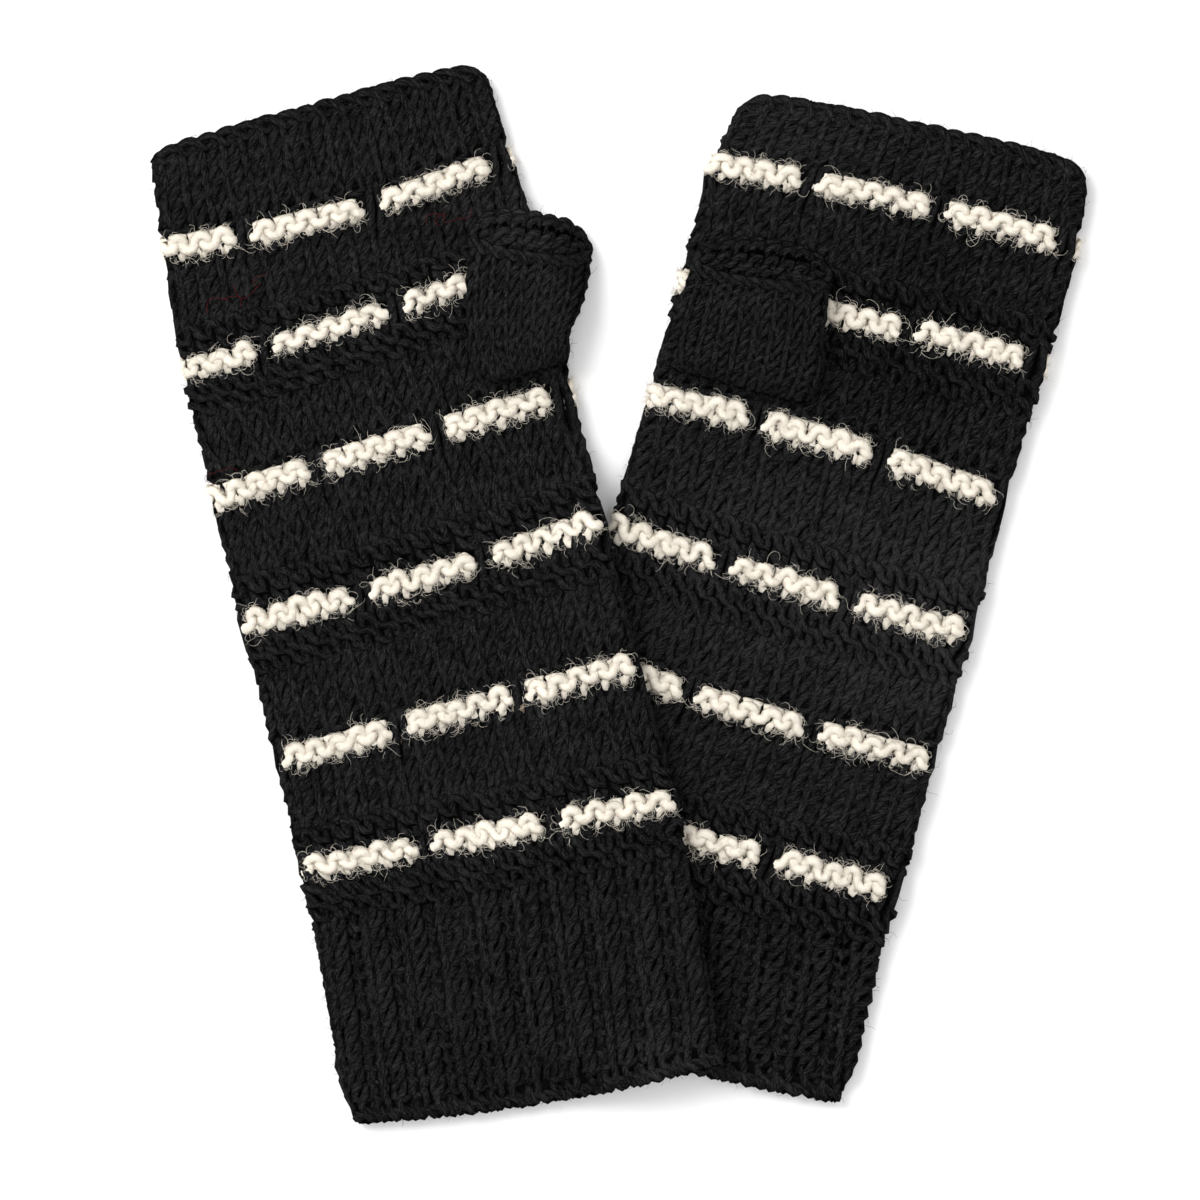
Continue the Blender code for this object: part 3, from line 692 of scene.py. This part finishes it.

# ------------------------------------------------------------------------------------ the dashes
# Each dash is a knit and a purl course of cream wool, five stitches long. At the slipped black
# stitch between two dashes the cream yarn is carried straight past behind it.
# The cream yarn's brown low tones are painted shade on its underside; its top gets a painted
# highlight.
CREAM_WOOL = wool("cream_yarn", ((0.18, (0.12, 0.095, 0.065)), (0.44, (0.40, 0.34, 0.26)),
                                 (0.71, (0.77, 0.715, 0.62))),
                  painted_crown_shade=0.33, bump_depth=0.3, sheen=0.02)
CREAM_LOOSE = 2.1          # its loops are more uneven than the black ones
CREAM_YARN_FAT = 0.95
CREAM_SAMPLES = 16
for mitt in MITTS:
    cream = [i for i, stitch in enumerate(mitt.chart) if stitch in "kp"]
    name = mitt.side + "_dashes"
    yarn, yarn_paths[name] = knit(mitt, name, cream, CREAM_WOOL, CREAM_LOOSE, CREAM_YARN_FAT,
                                  CREAM_SAMPLES, CREAM_SIDES)
    cloth_pieces[mitt.side + "_hand"][1].append(yarn)

# ---------------------------------------------------------------------------- the bound-off edges
# The last loops at the finger edge and the cuff's edge are bound off: each is drawn over the next,
# which leaves a chain of slanting stitches along the edge.
CHAIN_SAMPLES = 8
CHAIN_RADIUS = 1.35
CHAIN_LUMPS = 0.2
CHAIN_SWING = 0.45         # how far a chain's strands swing in and out, in millimetres,
CHAIN_SIDEWAYS = 0.12      # and along the edge, in wales
Edge = namedtuple("Edge", "part course depth height turns")


def chain(place, edge, stitches, out, swing, height, turns):
    """Two strands that wind round each other along an edge, with so many turns in a stitch.

    Up and down each is a cosine of its turn, in and out a sine, and along the edge a small sine.
    """
    wale = np.arange(stitches * CHAIN_SAMPLES)[None] / CHAIN_SAMPLES
    turn = 2 * math.pi * turns * wale + np.array([[0], [math.pi]])
    course = edge + height * np.cos(turn)
    outs = out + swing * np.sin(turn)
    wale = wale + CHAIN_SIDEWAYS * np.sin(turn)
    return place(wale, course, outs), place(wale, course, outs + OUTWARD_STEP)


for mitt in MITTS:
    for edge in (Edge("cuff", FIRST_EDGE + EDGE_INSET, -2.3, 0.22, 1),
                 Edge("hand", len(mitt.chart) + LAST_EDGE - 0.6, -1.5, 0.42, 0.5)):
        node = f"{mitt.side}_{edge.part}"
        path, beyond = chain(partial(on_mitt, mitt), edge.course, STITCHES, edge.depth, CHAIN_SWING,
                             edge.height, edge.turns)
        piece = strands(node + "_bind_off", path, beyond, (CHAIN_RADIUS, CHAIN_RADIUS), BLACK_WOOL,
                        CHAIN_LUMPS)
        cloth_pieces[node][1].append(piece)
        on_top = np.zeros(path.shape[:2])
        yarn_paths[node + "_bind_off"] = LaidYarn(path, beyond, on_top, on_top)

# ------------------------------------------------------------------------------------ the thumbs
# Stitches are picked up round a slot in the hand and knitted plain into a short tube, which stands
# up at its root, folds over and lies on the hand. Its open end is an oval mouth.
THUMB_THICKNESS = 5.4
THUMB_FOLD_DEPTH = 1.4     # radius at which the yarn's middle goes round a folded side
THUMB_ROOT_DEPTH = 9.0     # how far open the tube is at its root, front to back
THUMB_FOLD_RADIUS = 0.8    # between the hand and the thumb's back, where it folds over;
THUMB_SETTLES_BY = 8.0     # this far up from its root, the thumb has come down by that much
THUMB_DRAPE_REACH = 15.0   # past the hand's side, a thumb comes down to the floor this far out
MOUTH_DIP = 3.6            # how far the mouth's front edge lies back from the thumb's end,
MOUTH_RISE = 7.6           # and how far its back edge lies past it
THUMB_CHART = 9 * "K"
THUMB_SHELL = (-1.2, -1.7)
THUMB_YARN = (1.1, 0.95)   # the yarn is drawn thinner here than in the hand
WRONG_SIDE_CHART = 8 * "P"
WRONG_SIDE_ROWS = range(1, 7)
WRONG_SIDE = -4.2          # the depth about which the wrong side's bumps mirror the right side's
WRONG_SIDE_START = 6.25    # its first course, and the step to the next, in the tube's courses
WRONG_SIDE_STEP = 0.5
WRONG_SIDE_YARN = (1.35, 1.1)
MOUTH_EDGE = 9.1           # course, depth, swing, height and thickness of the chain round the mouth
MOUTH_DEPTH = -1.3
MOUTH_SWING = 0.4
MOUTH_HEIGHT = 0.33
MOUTH_RADIUS = 1.25
MOUTH_LUMPS = 0.15
# Sections of a thumb: how far right and up of its root, its tilt in degrees, its width, how far it
# is lifted, its turn from standing up to lying down, and its share of the mouth's oval.
Section = namedtuple("Section", "name course right up tilt width rise turn mouth")
LEFT_THUMB = [
    Section("root", -0.5, 0.0, 0.0, 4.0, 25.0, 0.0, 0.0, 0.0),
    Section("fold", 3.0, 0.0, 0.0, 2.0, 28.5, 0.0, 1.0, 0.0),
    Section("over the welt", 4.9, 2.4, 8.0, -8.0, 32.5, 1.6, 1.0, 0.0),
    Section("middle", 7.0, 5.6, 17.0, -17.0, 34.5, 1.6, 1.0, 0.0),
    Section("end", 9.5, 8.8, 26.5, -22.0, 34.0, 1.6, 1.0, 1.0),
]
RIGHT_THUMB = [
    Section("root", -0.5, 0.0, 0.0, 0.0, 42.5, 0.0, 0.0, 0.0),
    Section("fold", 3.0, 0.0, 0.0, 0.5, 43.5, 0.0, 1.0, 0.0),
    Section("over the welt", 4.9, -0.6, 6.0, 2.0, 42.5, 1.6, 1.0, 0.0),
    Section("middle", 7.0, -1.4, 15.0, 5.0, 40.5, 1.6, 1.0, 0.0),
    Section("end", 9.5, -1.8, 24.5, 8.0, 38.5, 1.6, 1.0, 1.0),
]
Thumb = namedtuple("Thumb", "mitt sections across height stitches")
THUMBS = (Thumb(LEFT_MITT, LEFT_THUMB, 40.2, 194.8, 16),
          Thumb(RIGHT_MITT, RIGHT_THUMB, -27.3, 186.0, 18))


def on_thumb(thumb, wale, course, out):
    """Point of the thumb's cloth, in metres.

    The tube's flattened ring swings through a right angle about the fold of its back, from
    standing on the hand to lying on it. At the mouth the front edge dips and the back edge rises.
    """
    mitt = thumb.mitt
    marks = [section.course for section in thumb.sections]
    right, up, tilt, width, rise, turn, mouth = (
        np.interp(course, marks, [getattr(section, field) for section in thumb.sections])
        for field in ("right", "up", "tilt", "width", "rise", "turn", "mouth"))
    radius = (THUMB_ROOT_DEPTH + (THUMB_THICKNESS - THUMB_ROOT_DEPTH) * turn) / 2
    flat = width / 2 - radius
    quarter = math.pi / 2 * THUMB_FOLD_DEPTH
    run = wale / thumb.stitches % 1 * (4 * flat + 4 * quarter)
    centre, angle = round_tube(run, flat, quarter)
    facing = np.sin(angle)
    across = centre + (radius + out) * np.cos(angle)
    share = np.clip(np.abs(across / (width / 2)), 0, 1)
    oval = np.where(facing > 0, -MOUTH_DIP, MOUTH_RISE) * np.abs(facing) * (1 - share ** 4)
    swing = turn * math.pi / 2
    arm = THUMB_FOLD_RADIUS + radius + (radius + out) * facing
    along = mouth * oval - arm * np.cos(swing)
    tilt = np.radians(tilt)
    here = thumb.across + right + across * np.cos(tilt) - along * np.sin(tilt)
    root = level(mitt, thumb.height, thumb.across)
    height = root + up + across * np.sin(tilt) + along * np.cos(tilt)
    settle = THUMB_FOLD_RADIUS * np.clip(up / THUMB_SETTLES_BY, 0, 1)
    carried = (HAND_THICKNESS + SEAM_GAP + rise) * (
        1 - smooth(outside(mitt, here, height), 0, THUMB_DRAPE_REACH))
    return laid(mitt, here, height, arm * np.sin(swing) - settle + carried)


for thumb in THUMBS:
    side = thumb.mitt.side
    place = partial(on_thumb, thumb)
    courses = list(range(len(THUMB_CHART)))
    base = shell(side + "_thumb_cloth", place, np.arange(0, thumb.stitches, 0.5),
                 np.arange(-0.4, 9.3, 0.5), THUMB_SHELL, BLACK_DEPTHS)
    wale, course, out = loops(THUMB_CHART, courses, thumb.stitches, [0] * len(courses), 0,
                              thumb.mitt.seed + 500, front=thumb.stitches)
    path, beyond = place(wale, course, out), place(wale, course, out + OUTWARD_STEP)
    yarn = strands(side + "_thumb_stitches", path, beyond, THUMB_YARN, BLACK_WOOL, YARN_LUMPS)
    yarn_paths[side + "_thumb"] = LaidYarn(path, beyond, out, 0.0 * out)
    # In the mouth the back wall shows its wrong side, which is all purl bumps.
    wale, course, out = loops(WRONG_SIDE_CHART, WRONG_SIDE_ROWS, thumb.stitches,
                              [0] * len(WRONG_SIDE_ROWS), 0, thumb.mitt.seed + 600,
                              front=thumb.stitches)
    course = WRONG_SIDE_START + WRONG_SIDE_STEP * (course - 1)
    wale, course, out = (part[:, thumb.stitches // 2 * FRONT_SAMPLES:]
                         for part in (wale, course, WRONG_SIDE - out))
    path, beyond = place(wale, course, out), place(wale, course, out - OUTWARD_STEP)
    inside = strands(side + "_thumb_wrong_side", path, beyond, WRONG_SIDE_YARN, BLACK_WOOL,
                     YARN_LUMPS, closed=False)
    path = chain(place, MOUTH_EDGE, thumb.stitches, MOUTH_DEPTH, MOUTH_SWING, MOUTH_HEIGHT, 0.5)[0]
    beyond = path + np.array([0, 0, OUTWARD_STEP * METRES])
    edge = strands(side + "_thumb_bind_off", path, beyond, (MOUTH_RADIUS, MOUTH_RADIUS), BLACK_WOOL,
                   MOUTH_LUMPS)
    on_top = np.zeros(path.shape[:2])
    yarn_paths[side + "_thumb_bind_off"] = LaidYarn(path, beyond, on_top, on_top)
    dress(side + "_thumb", base, [yarn, inside, edge])

# ------------------------------------------------------------------------------------- the fluff
# Loose wool fibres stand out all over the yarn. Those of the cream wool are longer and curl over
# the black stitches round each dash.
FLUFF_FACING = -0.2        # no fibres where the cloth lies on the floor
FLUFF_DEPTH = -2.4         # nor on yarn that lies deeper than this in the cloth
FLUFF_REST = (-0.2, 0.5)   # fibres lie at least this far out from the stitches' tops,
FLUFF_RISE = 1.3           # and at most this much further
FLUFF_TAPER = 0.6          # share of its thickness that a fibre has lost at its tip
CREAM_FLUFF = wool("cream_fluff", ((0.2, (0.45, 0.39, 0.30)), (0.5, (0.74, 0.69, 0.60))),
                   painted_crown_shade=0.0, bump_depth=0.1, sheen=0.02)
BLACK_FLUFF = wool("black_fluff", ((0.2, (0.006, 0.006, 0.0065)), (0.6, (0.032, 0.032, 0.034))),
                   painted_crown_shade=0.0, bump_depth=0.1, sheen=0.01)
Fibres = namedtuple("Fibres", "name slot material seed count steps lengths curl radius away")
KINDS_OF_FLUFF = [
    Fibres("cream_curls", "cream_wool", CREAM_FLUFF, 70, 420, 8, (3.5, 7.5), 5.0, 0.05, 0.7),
    Fibres("cream_nap", "cream_wool", CREAM_FLUFF, 80, 4900, 6, (1.0, 4.2), 3.2, 0.048, 0.7),
    Fibres("black_nap", "black_wool", BLACK_FLUFF, 90, 2600, 4, (1.5, 4.0), 2.0, 0.048, 0.0),
]
ROOTED_IN = {"black_wool": ("cuff", "hand", "thumb", "cuff_bind_off", "hand_bind_off",
                            "thumb_bind_off"),
             "cream_wool": ("dashes",)}


def fluff(mitt, kind, yarns):
    """Loose fibres with roots on the yarn's skin, each a three-sided strand that tapers to its tip.

    A fibre sets out away from the yarn, partly along it and, by the share away, up the mitt above
    a dash's middle and down it below. Then its heading turns steadily, and waves, in a plane that
    is near the cloth's own. Past its root it is moved out, so that it rests on the stitches.
    """
    draw = np.random.default_rng(mitt.seed + kind.seed)
    count = kind.count
    root = np.concatenate([yarn.path.reshape(-1, 3) for yarn in yarns])
    along = np.concatenate([(np.roll(yarn.path, -1, 1) - yarn.path).reshape(-1, 3)
                            for yarn in yarns])
    out = np.concatenate([(yarn.beyond - yarn.path).reshape(-1, 3) for yarn in yarns])
    depth = np.concatenate([yarn.depth.reshape(-1) for yarn in yarns])
    above = np.concatenate([yarn.above.reshape(-1) for yarn in yarns])

    def unit(vectors):
        return vectors / np.linalg.norm(vectors, axis=1, keepdims=True)

    out = unit(out)
    chosen = draw.choice(np.flatnonzero((out[:, 2] > FLUFF_FACING) & (depth > FLUFF_DEPTH)), count)
    root, along, out = root[chosen], unit(along[chosen]), out[chosen]
    sideways = unit(np.cross(along, out))
    angle = draw.uniform(-0.5, 1.0 if kind.away else math.pi / 2, (count, 1))
    lean = math.radians(mitt.lean)
    upward = np.array([[-math.sin(lean), math.cos(lean), 0.0]])
    toward = kind.away * np.clip(3 * above[chosen, None], -1, 1)
    beside = np.cos(angle) * sideways
    flip = draw.choice([-1, 1], (count, 1))
    flip = np.where(toward == 0, flip, np.sign((beside * upward).sum(1, keepdims=True) * toward))
    skin = flip * YARN_SIDE * beside + np.sin(angle) * YARN_OUT * out
    start = unit(unit(skin) * draw.uniform(0.3, 1, (count, 1))
                 + along * draw.normal(0, 0.6, (count, 1))
                 + upward * toward * draw.uniform(0, 1.5, (count, 1)) + 0.3 * out)
    across = unit(np.cross(out, start) + 0.35 * draw.normal(0, 1, (count, 3)))
    across = unit(across - start * (across * start).sum(1, keepdims=True))
    share = np.linspace(0, 1, kind.steps)[None]
    wave = draw.uniform(0.1, 0.7, (count, 1)) * np.sin(
        2 * math.pi * draw.uniform(0.5, 1.5, (count, 1)) * share + draw.uniform(0, 6, (count, 1)))
    bend = draw.choice([-1, 1], (count, 1)) * draw.uniform(0.3, 1.3, (count, 1))
    heading = bend * kind.curl * share + wave
    stride = draw.uniform(*kind.lengths, (count, 1, 1)) / (kind.steps - 1) * METRES
    move = stride * (np.cos(heading)[..., None] * start[:, None]
                     + np.sin(heading)[..., None] * across[:, None])
    path = (root + 0.9 * METRES * skin)[:, None] + np.cumsum(move, 1) - move[:, :1]
    height = ((path - root[:, None]) * out[:, None]).sum(-1)
    least = (draw.uniform(*FLUFF_REST, (count, 1)) - depth[chosen, None]) * METRES
    most = least + FLUFF_RISE * METRES
    rest = height + (np.clip(height, least, most) - height) * smooth(share, 0, 0.4)
    path = path + (rest - height)[..., None] * out[:, None]
    path[..., 2] = np.maximum(path[..., 2], 2 * kind.radius * METRES)
    points, along = spun(path, path + out[:, None] * METRES, 3, kind.radius, kind.radius,
                         closed=False)
    taper = (1 - FLUFF_TAPER * share)[..., None, None]
    points = path[:, :, None] + (points - path[:, :, None]) * taper
    return woolly(f"{mitt.side}_{kind.name}", points, along, YARN_GIRTH, kind.material,
                  closed=False)


for mitt in MITTS:
    for kind in KINDS_OF_FLUFF:
        yarns = [yarn_paths[f"{mitt.side}_{part}"] for part in ROOTED_IN[kind.slot]]
        piece = fluff(mitt, kind, yarns)
        cloth_pieces[mitt.side + "_hand"][1].append(piece)

# --------------------------------------------------------------------------------- stray fibres
# A few dark red fibres, from some other yarn, are caught in the left mitt's black wool. Each lies
# on the stitches in an arc.
STRAY_RADIUS = 0.09
STRAY_DEPTH = 0.25         # how far out from the stitches' tops they lie
Stray = namedtuple("Stray", "wale course wales courses bend")
STRAYS = [
    Stray(8.3, 54.5, 0.8, 0.4, 0.7), Stray(9.2, 54.9, 0.5, -0.7, -0.5),
    Stray(8.9, 54.1, 0.3, 0.9, 0.4), Stray(9.7, 54.3, 0.7, 0.2, -0.6),
    Stray(-2.2, 52.6, 1.1, 0.5, 0.6), Stray(-1.4, 53.3, 0.7, -0.8, 0.5),
    Stray(-0.8, 54.2, 1.2, -0.4, -0.8), Stray(0.2, 53.6, 0.6, 0.7, 0.5),
    Stray(-4.6, 41.2, 0.4, 0.8, 0.5), Stray(-4.2, 41.9, 0.7, -0.3, 0.3),
]
starts, firsts, sweep, climb, bends = np.array(STRAYS).T[..., None]
share = np.linspace(0, 1, 9)[None]
bow = bends * np.sin(math.pi * share)
wale = starts + sweep * share - bow * climb
course = firsts + climb * share + bow * sweep
path, beyond = (on_mitt(LEFT_MITT, wale, course, out)
                for out in (STRAY_DEPTH, STRAY_DEPTH + OUTWARD_STEP))
RED_FIBRE = wool("red_fibre", ((0.3, (0.03, 0.003, 0.004)), (0.6, (0.09, 0.012, 0.014))),
                 painted_crown_shade=0.0, bump_depth=0.1, sheen=0.02)
strays = strands("left_stray_fibres", path, beyond, (STRAY_RADIUS, STRAY_RADIUS), RED_FIBRE,
                 sides=3, closed=False)
cloth_pieces["left_hand"][1].append(strays)

# ------------------------------------------------------------------ the floor, light and camera
# A plain pale floor under even studio light from all round, with a large soft light above left,
# and a camera that looks straight down.
VIEW_CENTRE = (-5.0, -1.9)         # millimetres
VIEW_WIDTH = 324.0
CAMERA_HEIGHT = 2400.0
SENSOR = 36.0


def matt(name, colour):
    """Plain matt paint."""
    material = bpy.data.materials.new(name)
    material.use_nodes = True
    shader = material.node_tree.nodes["Principled BSDF"]
    shader.inputs["Base Color"].default_value = colour
    shader.inputs["Roughness"].default_value = 1.0
    shader.inputs["Specular IOR Level"].default_value = 0.0
    return material


floor_mesh = bpy.data.meshes.new("studio_floor")
floor_mesh.from_pydata([(-3, -3, 0), (3, -3, 0), (3, 3, 0), (-3, 3, 0)], [], [(0, 1, 2, 3)])
floor_mesh.materials.append(matt("floor_paint", (0.92, 0.92, 0.92, 1)))
studio_floor = bpy.data.objects.new("studio_floor", floor_mesh)
studio_floor.location.z = -0.0002
bpy.context.scene.collection.objects.link(studio_floor)

world = bpy.data.worlds.new("studio")
world.use_nodes = True
world.node_tree.nodes["Background"].inputs["Color"].default_value = (1, 1, 1, 1)
world.node_tree.nodes["Background"].inputs["Strength"].default_value = 1.05
bpy.context.scene.world = world

lamp = bpy.data.lights.new("soft_light", "AREA")
lamp.shape = "RECTANGLE"
lamp.size = 1.2
lamp.size_y = 1.2
lamp.energy = 34.0
soft_light = bpy.data.objects.new("soft_light", lamp)
soft_light.location = (-1.1, 0.9, 1.4)
soft_light.rotation_euler = (math.radians(-32), math.radians(-38), 0)
bpy.context.scene.collection.objects.link(soft_light)

camera_data = bpy.data.cameras.new("camera")
camera_data.sensor_width = SENSOR
camera_data.lens = SENSOR * (CAMERA_HEIGHT - HAND_THICKNESS) / VIEW_WIDTH
camera_data.clip_end = 20.0
camera = bpy.data.objects.new("camera", camera_data)
camera.location = (VIEW_CENTRE[0] * METRES, VIEW_CENTRE[1] * METRES, CAMERA_HEIGHT * METRES)
bpy.context.scene.collection.objects.link(camera)
bpy.context.scene.camera = camera
bpy.context.scene.view_settings.view_transform = "Standard"
